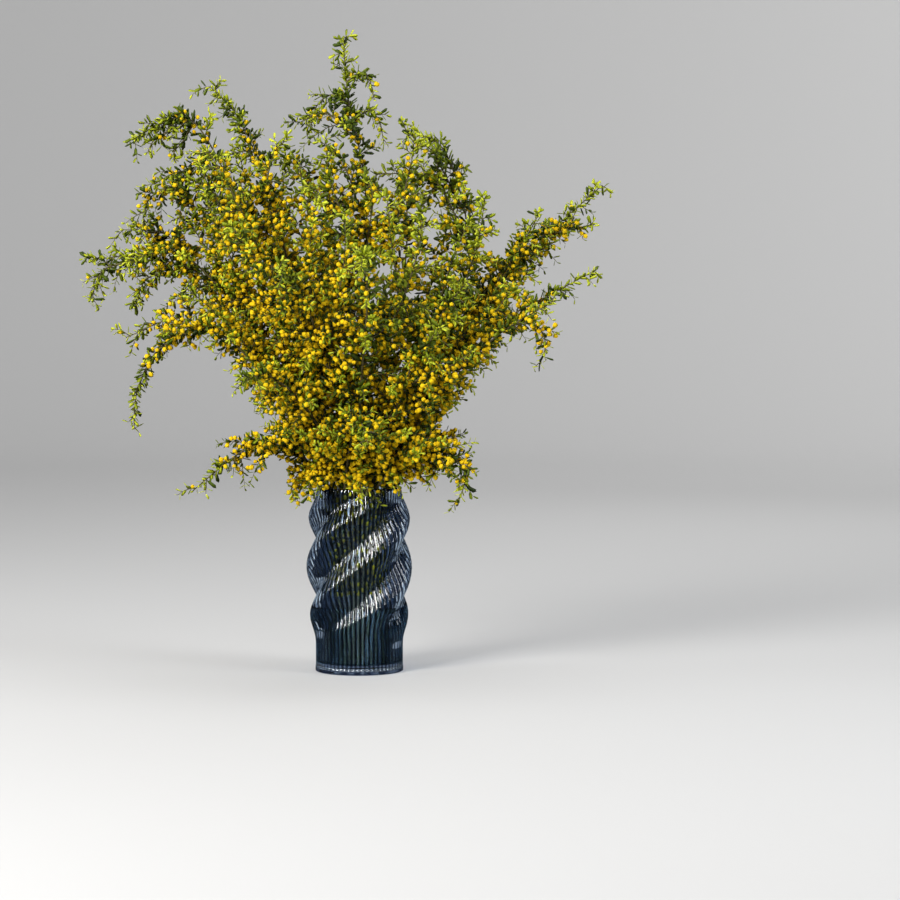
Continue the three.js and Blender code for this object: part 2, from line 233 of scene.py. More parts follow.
bpy.ops.mesh.primitive_circle_add(vertices=96, radius=FLOOR_RADIUS, fill_type="NGON")
backdrop = name_it("backdrop")
bpy.ops.object.mode_set(mode="EDIT")
bpy.ops.mesh.select_mode(type="EDGE")
bpy.ops.mesh.select_all(action="SELECT")
bpy.ops.mesh.extrude_edges_move(TRANSFORM_OT_translate={"value": (0, 0, WALL_TOP)})
select_where(backdrop, lambda co: co.z < 0.01)
bpy.ops.mesh.bevel(offset=SWEEP_RADIUS, segments=24, affect="EDGES")
select_where(backdrop, lambda co: co.z < 0.001, "faces")
bpy.ops.mesh.inset(thickness=FLAT_MARGIN)
bpy.ops.object.mode_set(mode="OBJECT")
bpy.ops.object.shade_smooth()
print("backdrop faces:", len(backdrop.data.polygons))

# %% [markdown]
# The paper glows a little to the camera, which keeps it even. Dark glass mirrors its room, so a photographer
# hides the bright floor from it with black cards: here rays that mirror off the glass meet almost black
# paper. Rays that pass through the glass meet twelve soft upright bars of light instead, which the reeds bend
# into lines. They count as mirrored rays too, so they are taken off those.

# %% The backdrop's paper
PAPER_GREY = 0.39
GLOW_NEAR = 0.21
GLOW_FAR = 0.205
CARD_GREY = 0.02
BARS = 12
BAR_GLOW = 3.2
BETWEEN_BARS = 0.2


def grey(value):
    return (value, value, value)


paper = Recipe("backdrop_paper")
place = paper.place()
distance = paper.node("ShaderNodeVectorMath", {"operation": "LENGTH"}, {0: place}, out="Value")
along_x, along_y = paper.split(place)[:2]
azimuth = along_y.math("ARCTAN2", along_y, along_x)
bar = 0.5 + 0.5 * azimuth.math("COSINE", BARS * azimuth)
through_glass = paper.ray("Is Transmission Ray")
off_glass = paper.ray("Is Glossy Ray") - through_glass
shown = paper.ray("Is Camera Ray") + BAR_GLOW * through_glass * (BETWEEN_BARS + (1 - BETWEEN_BARS) * bar)
evenly = [(0.0, grey(GLOW_NEAR)), (0.5, grey(GLOW_NEAR)), (1.0, grey(GLOW_FAR))]
tinted = paper.ramp(distance / FLOOR_RADIUS, evenly)
glow = paper.node("ShaderNodeVectorMath", {"operation": "SCALE"}, {0: tinted, "Scale": shown})
plain = {"Base Color": (*grey(PAPER_GREY), 1), "Roughness": 0.9}
bright = paper.principled({**plain, "Emission Color": glow, "Emission Strength": 1.0})
dark = paper.node("ShaderNodeBsdfDiffuse", {}, {"Color": (*grey(CARD_GREY), 1)})
backdrop.data.materials.append(paper.finish(paper.choose(off_glass, bright, dark)))
print("paper nodes:", len(paper.tree.nodes))

# %% [markdown]
# Studio light: one large soft box on the left as the key, a weaker box on each side, one overhead, one behind
# and one for the wall. One more box lights nothing matt. It draws the bright upright streaks on the swells of
# the reeded glass.

# %% Lights


def soft_box(name, place, aim, width, height, watts, colour=(1, 1, 1)):
    light = bpy.data.lights.new(name, "AREA")
    light.shape = "RECTANGLE"
    light.size = width
    light.size_y = height
    light.energy = watts
    light.color = colour
    box = put_in_scene(name, light)
    box.location = place
    box.rotation_euler = (Vector(aim) - Vector(place)).to_track_quat("-Z", "Y").to_euler()
    return box


WARM = (1.0, 0.98, 0.95)
COOL = (0.94, 0.97, 1.0)
PALE = (0.96, 0.98, 1.0)
soft_box("key_box", (-1.8, -2.5, 1.75), (0, 0, 0.38), 1.2, 1.8, 168, WARM)
soft_box("right_strip", (2.1, -1.2, 1.4), (0, 0, 0.3), 0.9, 1.6, 32, COOL)
soft_box("left_strip", (-2.3, -0.2, 1.1), (0, 0, 0.2), 0.4, 1.6, 8, PALE)
soft_box("top_box", (0.2, 0.4, 2.6), (0, 0, 0.5), 1.6, 1.0, 18)
soft_box("back_box", (1.0, 2.6, 1.7), (0, 0, 0.45), 1.4, 1.2, 10)
soft_box("wall_box", (3.1, 3.6, 4.0), (2.8, 7.5, 0.9), 2.4, 1.0, 122)
streaks = soft_box("streak_box", (0.6, -2.0, 2.4), (0, 0, 0.15), 1.2, 0.6, 42)
streaks.visible_diffuse = False

# %% [markdown]
# The room's own light is a faint even glow that fills the shadows. Rays that mirror off the glass meet almost
# none of it, as with the cards.

# %% The room's own light
ROOM_COLOUR = (0.91, 0.92, 0.93, 1)
ROOM_GLOW = 0.25
ROOM_IN_GLASS = 0.03
room = Recipe("studio", "worlds")
rays = {0: room.ray("Is Glossy Ray"), 1: room.ray("Is Transmission Ray")}
is_mirrored = room.node("ShaderNodeMath", {"operation": "SUBTRACT", "use_clamp": True}, rays)
strength = ROOM_GLOW + (ROOM_IN_GLASS - ROOM_GLOW) * is_mirrored
even_glow = room.node("ShaderNodeBackground", {}, {"Color": ROOM_COLOUR, "Strength": strength})
bpy.context.scene.world = room.finish(even_glow, "ShaderNodeOutputWorld")
bpy.context.scene.view_settings.view_transform = "Standard"
print("room light:", ROOM_GLOW, "and in the glass:", ROOM_IN_GLASS)

# %% [markdown]
# The vase's wall is one formula: a mean radius at each height, and four swells that wind up it. The same
# formula made the solid. The real vase was blown into a mould, which leaves sixty upright reeds on the
# outside, rounded at their crests and sharp in the grooves, and a smooth wall inside.

# %% The vase's formula, in millimetres
VASE_HEIGHT = 250
FOOT_RADIUS = 58.5
BODY_RADIUS = 64
MOUTH_RADIUS = 57
FOOT_TO_BODY = (32, 110)
BODY_TO_MOUTH = (190, VASE_HEIGHT)
SWELL = 7
SWELLS = 4
SWELL_SPACING = 78
SWELL_HEIGHT = 140
SWELL_RISE = (34, 92)
SWELL_FADE = (204, VASE_HEIGHT)
REEDS = 60
REED_DEPTH = 1.1
FOOT_RING = 6
FOOT_ROUND = (0, 1.5)
REED_START = (FOOT_RING - 1, FOOT_RING + 2)
REED_END = (VASE_HEIGHT - 4, VASE_HEIGHT - 1)
SHOULDER = 1.0
SHOULDER_FADE = (FOOT_RING, FOOT_RING + 2.5)
WALL = 4.2
FLOOR = 12
WATER_TOP = 89


def mix(a, b, share):
    return a + (b - a) * share


def smooth(x, low, high):
    share = np.clip((x - low) / (high - low), 0, 1)
    return share * share * (3 - 2 * share)


def wall_radius(azimuth, z):
    body = mix(FOOT_RADIUS, BODY_RADIUS, smooth(z, *FOOT_TO_BODY))
    mean = mix(body, MOUTH_RADIUS, smooth(z, *BODY_TO_MOUTH))
    swell = SWELL * smooth(z, *SWELL_RISE) * (1 - smooth(z, *SWELL_FADE))
    return mean + swell * np.cos(SWELLS * azimuth - TAU * (z - SWELL_HEIGHT) / SWELL_SPACING)


def reed_height(azimuth, z):
    """The reeds stand on the shoulder of a smooth foot ring, and fade out at the rim."""
    shown = smooth(z, *REED_START) * (1 - smooth(z, *REED_END))
    reed = REED_DEPTH * shown * (np.abs(np.cos(azimuth * REEDS / 2)) - 0.5)
    return reed + SHOULDER * (1 - smooth(z, *SHOULDER_FADE)) * smooth(z, *FOOT_ROUND)


print("wall radius at mid height:", round(float(wall_radius(0, SWELL_HEIGHT)), 1), "mm")

# %% [markdown]
# A string of points runs from the middle of the underside, up the outside, over the rim, down the inside and
# across the floor. Spin turns it once round the axis, as a lathe would. Then every ring is pushed out to the
# formula, with reeds on the outside only.

# %% Spinning a profile
UNIT_RADIUS = 100.0
INSIDE = 0.93


def spin_profile(name, profile, columns):
    """Spins (share of the radius, height) points, in millimetres, once round the axis into a closed mesh."""
    bpy.ops.mesh.primitive_plane_add(size=1)
    made = name_it(name)
    bpy.ops.object.mode_set(mode="EDIT")
    bpy.ops.mesh.select_mode(type="VERT")
    bpy.ops.mesh.select_all(action="SELECT")
    bpy.ops.mesh.merge(type="CENTER")
    here = Vector((0, 0, 0))
    for k, (share, height) in enumerate(profile):
        there = Vector((UNIT_RADIUS * share * MM, 0, height * MM))
        if k == 0:
            bpy.ops.transform.translate(value=there)
        else:
            bpy.ops.mesh.extrude_vertices_move(TRANSFORM_OT_translate={"value": there - here})
        here = there
    bpy.ops.mesh.select_all(action="SELECT")
    bpy.ops.mesh.spin(steps=columns, angle=TAU, center=(0, 0, 0), axis=(0, 0, 1))
    bpy.ops.mesh.select_all(action="SELECT")
    bpy.ops.mesh.remove_doubles(threshold=0.02 * MM)
    bpy.ops.mesh.normals_make_consistent(inside=False)
    bpy.ops.object.mode_set(mode="OBJECT")
    bpy.ops.object.shade_smooth()
    return made


def read_round(obj):
    """A spun mesh's points as azimuth, share of the radius and height."""
    x, y, z = np.array([point.co for point in obj.data.vertices]).T / MM
    return np.arctan2(y, x), np.hypot(x, y) / UNIT_RADIUS, z


def write_round(obj, azimuth, radius, z):
    points = np.column_stack([radius * np.cos(azimuth), radius * np.sin(azimuth), z])
    obj.data.vertices.foreach_set("co", (points * MM).ravel())
    obj.data.update()


def inner_radius(azimuth, share, z, wall):
    return (wall_radius(azimuth, z) - wall) * np.minimum(share / INSIDE, 1)


print("spin helpers ready")

# %% [markdown]
# On the vase's profile a share of 1 stands for the wall's outside and 0.93 for the inside. The foot and the
# rim get a few points each to be round, and the wall gets as many rings as its swells need.

# %% The vase
VASE_COLUMNS = 600
FOOT_RINGS = 14
OUTER_RINGS = 48
INNER_RINGS = 18
REEDED = 0.98
UNDERSIDE = [(0.0, 1.2), (0.80, 1.0), (0.93, 0.0), (0.985, 0.3)]
outer = UNDERSIDE + [(1.0, z) for z in np.linspace(1.2, 12, FOOT_RINGS)]
outer += [(1.0, z) for z in np.linspace(16, VASE_HEIGHT - 1.6, OUTER_RINGS)]
rim = [(share, VASE_HEIGHT - drop) for share, drop in ((0.990, 0.5), (0.972, 0), (0.955, 0), (0.938, 0.5))]
inner = [(INSIDE, z) for z in np.linspace(VASE_HEIGHT - 1.6, FLOOR + 5, INNER_RINGS)]
inner += [(0.915, FLOOR + 2.2), (0.87, FLOOR + 0.5), (0.80, FLOOR), (0.0, FLOOR)]
vase = spin_profile("vase_glass", [*outer, *rim, *inner], VASE_COLUMNS)


def shape_vase():
    """Outside points follow the wall with reeds, inside points keep the wall's thickness from it."""
    azimuth, share, z = read_round(vase)
    outside = wall_radius(azimuth, z) + reed_height(azimuth, z) * (share > REEDED)
    is_inside = (z > FLOOR - 1) & (share < INSIDE + 0.0001)
    radius = np.where(is_inside, inner_radius(azimuth, share, z, WALL), outside * share)
    write_round(vase, azimuth, radius, z)


shape_vase()
print("vase faces:", len(vase.data.polygons))

# %% [markdown]
# The water fills the inside up to its line, with a slight meniscus where it climbs the glass. Its skin is set
# a hair into the glass, because a film of air between the two would shine like a mirror.

# %% The water
WATER_COLUMNS = 180
WATER_RINGS = 22
INTO_GLASS = 0.15
MENISCUS = 1.4
bed = FLOOR - INTO_GLASS
depths = [(0.0, bed), (0.80, bed), (0.87, FLOOR + 0.5), (0.915, FLOOR + 2.2)]
depths += [(INSIDE, z) for z in np.linspace(FLOOR + 5, WATER_TOP + MENISCUS, WATER_RINGS)]
surface = [(0.92, WATER_TOP + 0.5), (0.89, WATER_TOP), (0.0, WATER_TOP)]
water = spin_profile("vase_water", [*depths, *surface], WATER_COLUMNS)
azimuths, shares, heights = read_round(water)
write_round(water, azimuths, inner_radius(azimuths, shares, heights, WALL - INTO_GLASS), heights)
print("water faces:", len(water.data.polygons))

# %% [markdown]
# Glass is mostly what passes through it. A principled shader with full transmission bends the light, and its
# base colour tints each pass through a wall. That colour carries painted light: it is darkest in the grooves
# between the reeds as painted shade, and nearly clear on the reeds' crests as painted upright highlight
# streaks.
# It is darkest in the foot ring, and clear white at the reeds' lower ends as a painted row of highlights.
# Lamps can't shine through bent glass without noisy caustics, so shadow rays meet a plain tinted transparent
# shader, which lets the stems inside be lit.

# %% Glass and water finishes
TINT = [(0.0, (0.012, 0.018, 0.04)), (0.3, (0.13, 0.20, 0.32)),
        (0.75, (0.68, 0.83, 0.94)), (1.0, (1.0, 1.0, 1.0))]
# The grooves' dark tint is painted shade and the crests' light tint is painted highlight streaks. The ends'
# share lifts the reeds' lower ends to clear white as painted highlights.
GROOVE_SHADE = 0.01
CREST_HIGHLIGHT = 0.76
RING_SHARE = 0.05
ENDS_HIGHLIGHT = 1.5
WALL_SHARE = 1.0
ENDS_FROM = (5 * MM, 6.5 * MM)
WALL_FROM = (10.5 * MM, 12.5 * MM)
GLASS_SHADOW = (0.40, 0.50, 0.62)
WATER_TINT = (0.74, 0.95, 0.95)
WATER_SHADOW = (0.92, 0.97, 0.98)


def painted_reed_streaks(recipe):
    """A place on the tint: painted highlights on crests and reed ends, painted shade in grooves, a dark foot
    ring.
    """
    x, y, z = recipe.split(recipe.place())
    wave = x.math("COSINE", y.math("ARCTAN2", y, x) * (REEDS / 2))
    crest = wave.math("ABSOLUTE", wave)
    ends = (ENDS_HIGHLIGHT - RING_SHARE) * recipe.step(z, *ENDS_FROM)
    wall = (ENDS_HIGHLIGHT - WALL_SHARE) * recipe.step(z, *WALL_FROM)
    return recipe.ramp((GROOVE_SHADE + CREST_HIGHLIGHT * crest * crest * crest) * (RING_SHARE + ends - wall), TINT)


def clear_finish(name, tint, shadow, refraction):
    recipe = Recipe(name)
    inputs = {"Roughness": 0.02, "IOR": refraction, "Transmission Weight": 1.0}
    inputs["Base Color"] = (*tint, 1) if tint else painted_reed_streaks(recipe)
    clear = recipe.node("ShaderNodeBsdfTransparent", {}, {"Color": (*shadow, 1)})
    return recipe.finish(recipe.choose(recipe.ray("Is Shadow Ray"), recipe.principled(inputs), clear))


vase.data.materials.append(clear_finish("blue_glass", None, GLASS_SHADOW, 1.5))
water.data.materials.append(clear_finish("clear_water", WATER_TINT, WATER_SHADOW, 1.33))
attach(vase, "root")
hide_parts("vase")
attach(water, "root")
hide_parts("water")
print("glass and water dressed")

# %% [markdown]
# Each branch grows along the line that its solid follows: a straight stretch inside the vase, turned in a
# spiral with its neighbours, then a smooth curve through a few points. Each row gives where the stem passes
# the neck, as a radius and an azimuth in degrees, how heavily it flowers from 0 to 1, and its way from there
# to its tip. A slender branch also has a fullness below 1, which shortens its twigs towards the tip.

# %% The branches, in millimetres
Branch = namedtuple("Branch", "name neck bloom way fullness", defaults=[1])
BRANCHES = [Branch(*row) for row in (
    ("spire", (0, 0), 0.7, [(6, 0, 420), (10, 0, 640), (-14, 0, 775), (-20, 0, 859)]),
    ("upper_left", (14, 165), 0.9, [(-58, -10, 420), (-122, -20, 650), (-160, -20, 745), (-200, -25, 790)]),
    ("upper_right", (14, 20), 0.3, [(92, 30, 430), (148, 45, 560), (118, 45, 700), (58, 40, 735)]),
    ("far_right", (44, 14), 0.7, [(110, 25, 400), (190, 45, 535), (270, 60, 605), (335, 60, 662)]),
    ("right", (44, -12), 0.9, [(105, -22, 375), (190, -30, 470), (258, -35, 510), (322, -30, 545)], 0.8),
    ("right_low", (44, -38), 1.0, [(100, -65, 368), (180, -105, 452), (264, -125, 505)], 0.6),
    ("right_hanging", (44, -64), 0.8, [(62, -80, 290), (112, -95, 302), (143, -100, 275), (134, -100, 236)]),
    ("left_rising", (29, 150), 0.8,
     [(-82, 35, 430), (-150, 55, 600), (-220, 55, 738), (-268, 50, 742), (-309, 45, 718)]),
    ("far_left", (44, 168), 0.8, [(-100, 20, 400), (-190, 30, 520), (-285, 30, 560), (-372, 25, 556)]),
    ("left_arching", (44, 193), 0.9,
     [(-95, -30, 360), (-185, -48, 458), (-258, -60, 442), (-292, -62, 385), (-298, -62, 326)], 0.4),
    ("left_low", (44, 219), 0.9, [(-85, -65, 305), (-130, -95, 314), (-175, -112, 286), (-218, -118, 250)]),
    ("front_left", (29, 240), 1.0, [(-60, -85, 350), (-112, -150, 405), (-148, -190, 396)]),
    ("front_left_high", (14, 260), 1.0, [(-35, -80, 400), (-70, -150, 510), (-98, -200, 548)]),
    ("front", (29, 272), 0.25, [(5, -90, 380), (16, -160, 500), (14, -215, 560), (10, -248, 545)]),
    ("front_low", (44, 245), 1.0, [(-8, -95, 315), (6, -150, 345), (18, -195, 318)]),
    ("front_right", (29, 305), 0.9, [(62, -78, 390), (112, -140, 485), (148, -185, 530)]),
    ("back_right", (44, 40), 0.8, [(85, 75, 390), (150, 145, 490), (195, 195, 520)]),
    ("back_right_high", (29, 58), 0.7, [(45, 70, 420), (62, 145, 570), (60, 200, 655), (50, 235, 668)]),
    ("back_left_high", (29, 105), 0.8, [(-52, 75, 425), (-100, 145, 560), (-140, 195, 625)]),
    ("back_left", (44, 125), 0.9, [(-85, 85, 365), (-165, 145, 455), (-230, 180, 462)]),
)]
print("longest way:", max(len(branch.way) for branch in BRANCHES), "points")

# %% [markdown]
# A branch forks. A bough leaves it at a share of its length above the neck and fills the crown between the
# branches. Short sprays fill what is left. Where a spray's row ends in a number, its flowering is that many
# times its branch's: below 1 it is almost all leaf, and the last few, well above 1, hang thickly at the rim.

# %% Boughs and sprays, in millimetres
BOUGHS = [
    ("spire", 0.22, [(40, 20, 470), (78, 35, 560), (84, 40, 650)]),
    ("spire", 0.30, [(-30, -20, 520), (-66, -40, 620), (-78, -55, 690)]),
    ("spire", 0.62, [(-42, -12, 752), (-82, -18, 738)]),
    ("upper_left", 0.20, [(-60, -55, 470), (-62, -85, 570), (-50, -95, 650)]),
    ("upper_left", 0.32, [(-100, 30, 520), (-110, 45, 610), (-100, 50, 690)]),
    ("upper_left", 0.45, [(-140, -60, 600), (-172, -85, 660), (-196, -95, 700)]),
    ("upper_right", 0.25, [(70, -25, 470), (48, -60, 560), (40, -80, 640)]),
    ("upper_right", 0.34, [(130, 0, 500), (158, -30, 570), (170, -40, 640)]),
    ("upper_right", 0.66, [(88, 20, 672), (20, 5, 672)]),
    ("far_right", 0.28, [(140, 12, 450), (200, 10, 540), (228, 5, 600)]),
    ("left_rising", 0.28, [(-140, 0, 500), (-180, -25, 580), (-205, -35, 650)]),
    ("left_rising", 0.40, [(-150, 90, 580), (-160, 110, 660), (-170, 115, 715)]),
    ("left_rising", 0.55, [(-235, 40, 668), (-284, 30, 640), (-294, 28, 598)]),
    ("far_left", 0.62, [(-265, 45, 592), (-328, 50, 598)]),
    ("left_arching", 0.18, [(-130, -60, 420), (-180, -85, 480), (-225, -100, 520)]),
    ("left_arching", 0.42, [(-245, -30, 478), (-312, -22, 452)]),
    ("front_left_high", 0.35, [(-30, -115, 470), (-15, -145, 550), (-12, -160, 620)]),
    ("front_left_high", 0.42, [(-90, -130, 500), (-130, -155, 560), (-160, -165, 600)]),
    ("front", 0.38, [(50, -130, 480), (80, -150, 560), (88, -160, 620)]),
    ("back_right_high", 0.30, [(80, 100, 480), (112, 120, 570), (122, 125, 640)]),
    ("back_left_high", 0.30, [(-50, 110, 500), (-45, 130, 600), (-50, 140, 680)]),
    ("back_left", 0.30, [(-130, 100, 430), (-190, 110, 500), (-230, 115, 540)]),
]
SPRAYS = [
    ("spire", 0.68, [(14, 8, 756), (28, 10, 742), (34, 10, 712)], 0.4),
    ("spire", 0.72, [(-34, 6, 778), (-56, 10, 764), (-66, 10, 730)], 0.2),
    ("spire", 0.80, [(2, -6, 806), (14, -10, 800), (22, -12, 770)], 0.2),
    ("spire", 0.40, [(-15, -25, 600), (-38, -40, 670), (-42, -45, 720)]),
    ("spire", 0.45, [(46, -15, 600), (70, -30, 680), (76, -35, 722)]),
    ("spire", 0.48, [(-50, -20, 640), (-84, -30, 682), (-108, -34, 700)]),
    ("spire", 0.35, [(-50, 30, 545), (-90, 44, 605), (-122, 50, 640)]),
    ("upper_left", 0.28, [(-112, -34, 545), (-150, -50, 600), (-168, -58, 660)]),
    ("upper_left", 0.50, [(-122, -55, 640), (-112, -78, 692), (-90, -84, 716)]),
    ("left_rising", 0.36, [(-162, 24, 590), (-194, 12, 640), (-218, 4, 690)]),
    ("left_rising", 0.22, [(-150, 40, 500), (-200, 34, 560), (-236, 20, 620)]),
    ("upper_right", 0.30, [(112, -10, 510), (132, -44, 570), (150, -56, 610)]),
    ("upper_right", 0.52, [(126, 22, 625), (104, 8, 662), (80, 0, 684)]),
    ("upper_right", 0.60, [(118, 30, 668), (100, 22, 702), (82, 16, 714)]),
    ("far_right", 0.35, [(190, 16, 530), (222, -8, 580), (244, -20, 622)]),
    ("right", 0.50, [(172, -62, 470), (192, -92, 500), (204, -104, 524)]),
    ("front_right", 0.30, [(90, -115, 405), (125, -140, 418), (155, -155, 440)]),
    ("front_right", 0.42, [(92, -132, 440), (104, -160, 462), (112, -184, 468)], 0.1),
    ("left_rising", 0.42, [(-206, 40, 652), (-238, 36, 668), (-256, 30, 648)], 0.4),
    ("left_rising", 0.36, [(-196, 60, 610), (-240, 66, 640), (-262, 70, 680)]),
    ("spire", 0.52, [(-8, -34, 660), (-26, -52, 700), (-40, -60, 690)]),
    ("spire", 0.40, [(14, -30, 590), (20, -50, 640), (10, -56, 668)]),
    ("far_left", 0.40, [(-232, 16, 560), (-274, 6, 566), (-310, 0, 552)], 0.4),
    ("far_left", 0.72, [(-336, 20, 548), (-354, 16, 530), (-362, 14, 500)], 0.2),
    ("right_low", 0.78, [(236, -118, 470), (248, -122, 446), (240, -122, 416)]),
    ("far_right", 0.70, [(262, 42, 592), (282, 30, 600), (296, 26, 628)]),
    ("far_right", 0.50, [(225, 44, 562), (250, 30, 572), (262, 22, 588)]),
    ("far_right", 0.75, [(290, 50, 604), (306, 44, 600), (318, 40, 608)], 0.5),
    ("far_left", 0.60, [(-284, 40, 534), (-300, 46, 514), (-306, 48, 494)], 0.3),
    ("left_rising", 0.62, [(-240, 50, 718), (-252, 46, 704), (-252, 44, 690)], 0.4),
    ("left_rising", 0.72, [(-264, 46, 728), (-280, 44, 718), (-288, 42, 702)], 0.2),
    ("right_hanging", 0.12, [(70, -70, 286), (92, -80, 290), (104, -84, 270)], 2.0),
    ("right", 0.45, [(180, -10, 480), (214, 6, 520), (236, 10, 560)]),
    ("right_low", 0.08, [(74, -36, 300), (104, -44, 312), (118, -50, 290)], 1.5),
    ("front_left", 0.03, [(-40, -52, 276), (-60, -66, 270), (-66, -76, 240)], 3.0),
    ("left_low", 0.04, [(-50, -36, 274), (-74, -48, 264), (-84, -56, 234)], 3.0),
    ("left_low", 0.10, [(-62, -52, 280), (-82, -62, 268), (-90, -66, 246)], 3.0),
    ("front_low", 0.05, [(-5, -50, 272), (2, -82, 268), (6, -98, 246)], 2.0),
    ("right_hanging", 0.05, [(34, -52, 268), (52, -72, 276), (66, -84, 258)], 2.0),
    ("right_low", 0.05, [(62, -46, 285), (96, -60, 296), (126, -68, 276)], 2.5),
]
NECK_HEIGHT = 246
SPIRAL = 50
FOOT_SPREAD = 0.86
CLEARANCE = 0.4
print("branches:", len(BRANCHES), "boughs:", len(BOUGHS), "sprays:", len(SPRAYS))

# %% [markdown]
# Growth looks random, but every draw is worked out from whole-number keys, so each run gives the same branch,
# with the solid's own draws for its twigs. The last key names what is drawn.

# %% Draws and directions
TURN, SLANT, REACH, SAG = range(1, 5)
LEAF_TURN, LEAF_LEAN, LEAF_ROLL, LEAF_SIZE, LEAF_TONE = range(21, 26)
HEAD_COUNT, HEAD_SKIP, HEAD_TURN, HEAD_LEAN, HEAD_REACH, HEAD_SIZE, HEAD_TONE = range(31, 38)
TWIG_BLOOM, TWIG_TONE = 41, 42


def chance(*keys):
    """A repeatable number from 0 to 1 for a list of whole numbers."""
    h = 2166136261
    for k in keys:
        h = ((h ^ k) * 16777619) & 0xFFFFFFFF
        h ^= h >> 13
        h = (h * 1540483477) & 0xFFFFFFFF
    h ^= h >> 15
    return h / 4294967296


def unit(v):
    return v / np.linalg.norm(v, axis=-1, keepdims=True)


def polar(radius, degrees, z):
    return np.array([radius * math.cos(math.radians(degrees)), radius * math.sin(math.radians(degrees)), z])


print("first draw:", round(chance(0, 0, TURN), 3))

# %% [markdown]
# Wood grows along a Shoot: a path from 0 to 1 with a length, and a level sideways direction that fixes how
# its leaves and twigs turn. Below 0 a stem runs straight on to its cut foot.

# %% Lines that wood grows along
NUDGE = 0.01


def spline(points):
    """A smooth curve from 0 to 1 through the points, as a function of an array of places on it."""
    p = np.vstack([2 * points[0] - points[1], points, 2 * points[-1] - points[-2]])
    spans = len(points) - 1

    def at(u):
        place = np.clip(u, 0, 1) * spans
        k = np.minimum(place.astype(int), spans - 1)
        t = (place - k)[:, None]
        a, b, c, d = p[k], p[k + 1], p[k + 2], p[k + 3]
        leave, arrive = (c - a) / 2, (d - b) / 2
        cubic = 2 * (b - c) + leave + arrive
        return b + t * leave + t**2 * (3 * (c - b) - 2 * leave - arrive) + t**3 * cubic

    return at


class Shoot:
    def __init__(self, path, length, side, key, fullness=1):
        self.path = path
        self.length = length
        self.side = side
        self.key = key
        self.fullness = fullness
        self.hangs = 0

    def frame(self, u):
        u = np.atleast_1d(u)
        along = unit(self.path(u + NUDGE) - self.path(u - NUDGE))
        side = unit(self.side - along * (along @ self.side)[:, None])
        return self.path(u), along, side, np.cross(along, side)


def curved_shoot(points, root, key, fullness=1):
    points = np.array(points, float)
    curve = spline(points)
    steps = curve(np.linspace(0, 1, 201))
    length = np.linalg.norm(np.diff(steps, axis=0), axis=1).sum()
    across = points[-1] - points[0]
    rooted = np.linalg.norm(points[0] - root)

    def path(u):
        below = points[0] + (root - points[0]) * (np.maximum(-u, 0) * length / rooted)[:, None]
        return np.where((u < 0)[:, None], below, curve(u))

    made = Shoot(path, length, unit(np.array([-across[1], across[0], 0])), key, fullness)
    made.rooted = rooted
    return made


def stem_shoot(branch, key):
    radius, azimuth = branch.neck
    foot = polar(radius * FOOT_SPREAD, azimuth - SPIRAL, FLOOR + CLEARANCE)
    return curved_shoot([polar(radius, azimuth, NECK_HEIGHT), *branch.way], foot, key, branch.fullness)


def limb_shoot(stem, start, way, key):
    first = stem.path(np.array([start]))[0]
    return curved_shoot([first, *way], 2 * first - np.array(way[0], float), key)


print("the first stem is", round(stem_shoot(BRANCHES[0], 0).length), "mm long above the neck")

# %% [markdown]
# A side twig leaves its shoot at a slant, a golden angle round from the last one. High up and far out it is
# free to hang, and it sags under its flowers. Low and near the axis it is held up by what it leans on.

# %% Side twigs, in millimetres and degrees
TWIG_SPACING = 22
TWIG_LONG = 112
TWIG_SHORT = 24
TWIG_SLANTS = (46, 68)
TWIG_REACHES = (0.7, 1.2)
TURN_SPREAD = 0.7
FREE_ABOVE = (300, 400)
FREE_BEYOND = (110, 170)
HELD_SAG = 0.05
FREE_SAGS = (0.18, 0.48)
HELD_RISE = 0.3
NEARLY_UPRIGHT = 0.15
GOLDEN_ANGLE = math.radians(137.5)


def twig_shoot(parent, j, count, key=None):
    """Side twig j of count on its parent. A place between two twigs takes a key of its own."""
    key = parent.key if key is None else key
    whole = math.floor(j)
    u = (j + 0.6) / (count + 0.1)
    at, along, side, over = (row[0] for row in parent.frame(u))
    turn = j * GOLDEN_ANGLE + TURN_SPREAD * chance(key, whole, TURN)
    slant = math.radians(mix(*TWIG_SLANTS, chance(key, whole, SLANT)))
    fullness = mix(1, parent.fullness, smooth(u, 0.1, 0.6))
    length = fullness * mix(TWIG_LONG, TWIG_SHORT, smooth(u, 0, 0.8))
    length *= mix(*TWIG_REACHES, chance(key, whole, REACH))
    out = side * math.cos(turn) + over * math.sin(turn)
    start = along * math.cos(slant) + out * math.sin(slant)
    free = max(smooth(at[2], *FREE_ABOVE), smooth(math.hypot(at[0], at[1]), *FREE_BEYOND), parent.hangs)
    start[2] = max(start[2], mix(HELD_RISE, -1, free))
    start = unit(start)
    sag = mix(HELD_SAG, mix(*FREE_SAGS, chance(key, whole, SAG)), free)
    level = np.array([-start[1], start[0], 0])
    flat = unit(level) if np.linalg.norm(level) > NEARLY_UPRIGHT else side
    made = Shoot(None, length, flat, key * 1000 + whole)

    def path(s):
        down = np.outer(sag * made.length * s * s, [0, 0, 1])
        return at + np.outer(made.length * s, start) - down

    made.path = path
    made.place = u
    return made


print("its first twig is", round(twig_shoot(stem_shoot(BRANCHES[0], 0), 0, 30).length), "mm long")

# %% [markdown]
# A wattle leaf is a small oblong blade with a blunt tip, a little arched, with a midrib under it. It starts
# as a ball of three slices and three rings, turned so that one slice's corner points down as the midrib. Ring
# by ring it is drawn out, flattened and widened into a closed blade of 12 triangles. It is used thousands of
# times, so it stays that simple.

# %% One leaf
LEAF_RINGS = ((0.25, 0.30, 1.08), (0.75, 0.80, 1.32))
LEAF_ARCH = 0.12
LEAF_FLATNESS = 0.18


